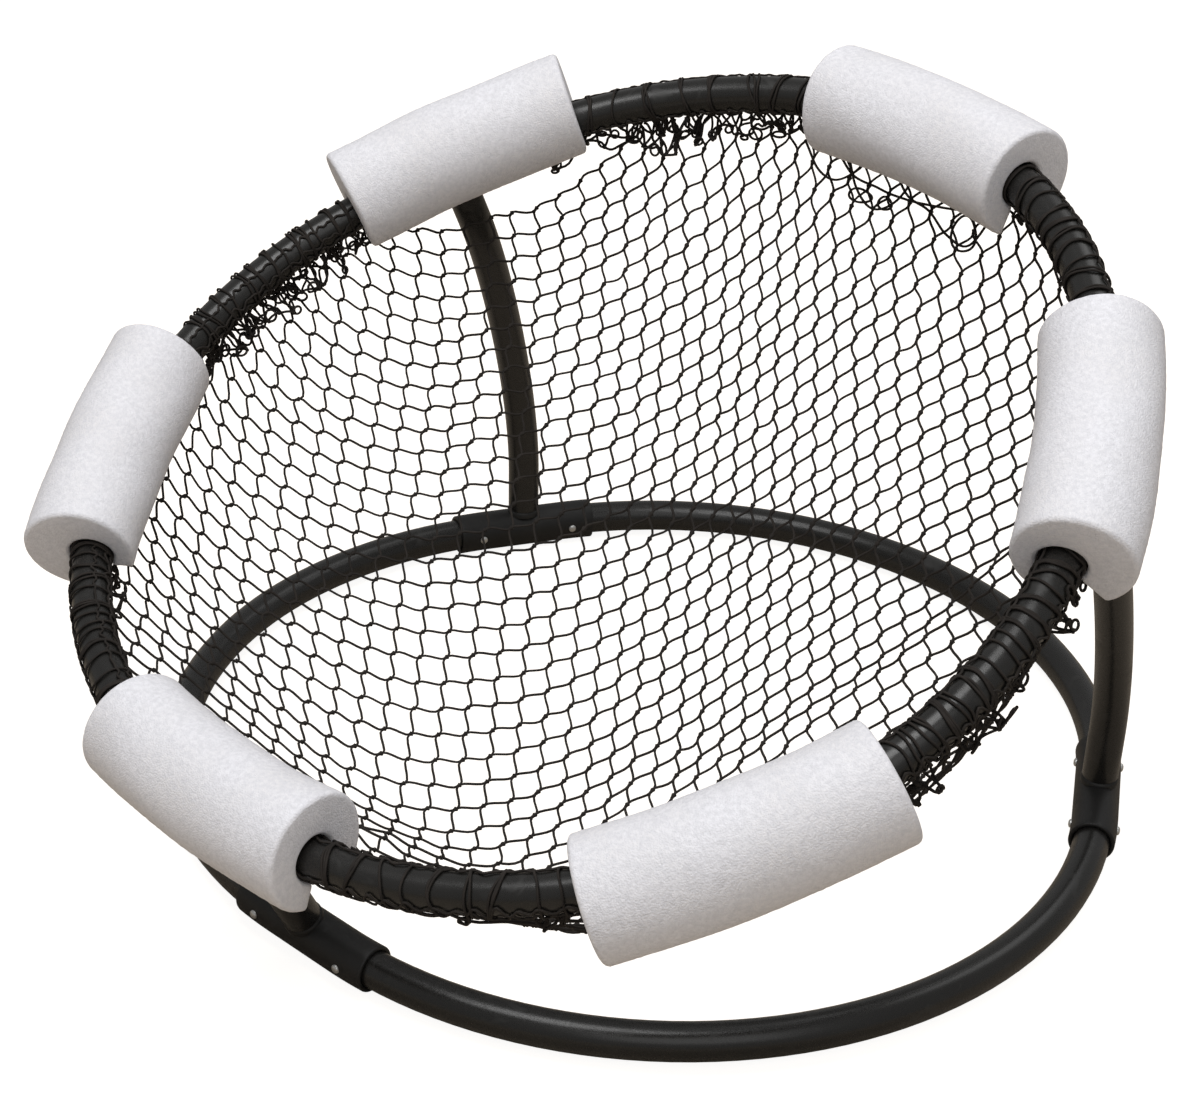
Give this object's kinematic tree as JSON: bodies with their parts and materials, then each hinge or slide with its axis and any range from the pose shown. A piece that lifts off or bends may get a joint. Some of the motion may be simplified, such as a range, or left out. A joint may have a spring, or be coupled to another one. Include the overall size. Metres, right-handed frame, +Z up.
{
  "type": "golf target net",
  "caption": "Free-standing chipping target: a net bowl hung in a slanted foam-padded tube ring that stands on legs over a base ring.",
  "frame": {"origin": "on the floor under the middle of the object's box", "axes": "+Z up; -Y towards the low front of the slanted rim; +X to the right seen from the front"},
  "size_m": [1.0112, 1.0577, 0.6397],
  "materials": {
    "tube": "satin black plastic pipe",
    "tee": "moulded black plastic",
    "rivet": "plain domed rivet head",
    "foam": null,
    "twine": "knotted black twine"
  },
  "bodies": {
    "frame": {"base_rivet_front_a": "rivet", "base_rivet_front_b": "rivet", "base_rivet_left_a": "rivet", "base_rivet_left_b": "rivet", "base_rivet_right_a": "rivet", "base_rivet_right_b": "rivet", "base_tee_front": "tee", "base_tee_left": "tee", "base_tee_right": "tee", "base_tube_back": "tube", "base_tube_left_front": "tube", "base_tube_right_front": "tube", "foam_sleeve_front": "foam", "foam_sleeve_left": "foam", "foam_sleeve_right": "foam", "leg_front": "tube", "leg_left": "tube", "leg_right": "tube", "net": "twine", "net_wrap_back": "twine", "net_wrap_left_front": "twine", "net_wrap_right_front": "twine", "rim_rivet_front_a": "rivet", "rim_rivet_front_b": "rivet", "rim_rivet_left_a": "rivet", "rim_rivet_left_b": "rivet", "rim_rivet_right_a": "rivet", "rim_rivet_right_b": "rivet", "rim_tee_front": "tee", "rim_tee_left": "tee", "rim_tee_right": "tee", "rim_tube_back": "tube", "rim_tube_left_front": "tube", "rim_tube_right_front": "tube"},
    "foam_sleeve_right_front": {"foam_sleeve_right_front": "foam"},
    "foam_sleeve_back": {"foam_sleeve_back": "foam"},
    "foam_sleeve_left_front": {"foam_sleeve_left_front": "foam"}
  },
  "joints": [
    {"name": "foam_sleeve_right_front_slide_round_rim", "type": "hinge", "parent": "frame", "child": "foam_sleeve_right_front", "pos_m": [0.04182, -0.10147, 0.3806], "axis": [0, -0.4289, 0.9033], "range_deg": [-30.2, 29]},
    {"name": "foam_sleeve_back_slide_round_rim", "type": "hinge", "parent": "frame", "child": "foam_sleeve_back", "pos_m": [0.00581, -0.03897, 0.41028], "axis": [0, -0.4289, 0.9033], "range_deg": [-28, 33.8]},
    {"name": "foam_sleeve_left_front_slide_round_rim", "type": "hinge", "parent": "frame", "child": "foam_sleeve_left_front", "pos_m": [-0.0361, -0.0984, 0.38206], "axis": [0, -0.4289, 0.9033], "range_deg": [-32, 29]}
  ]
}
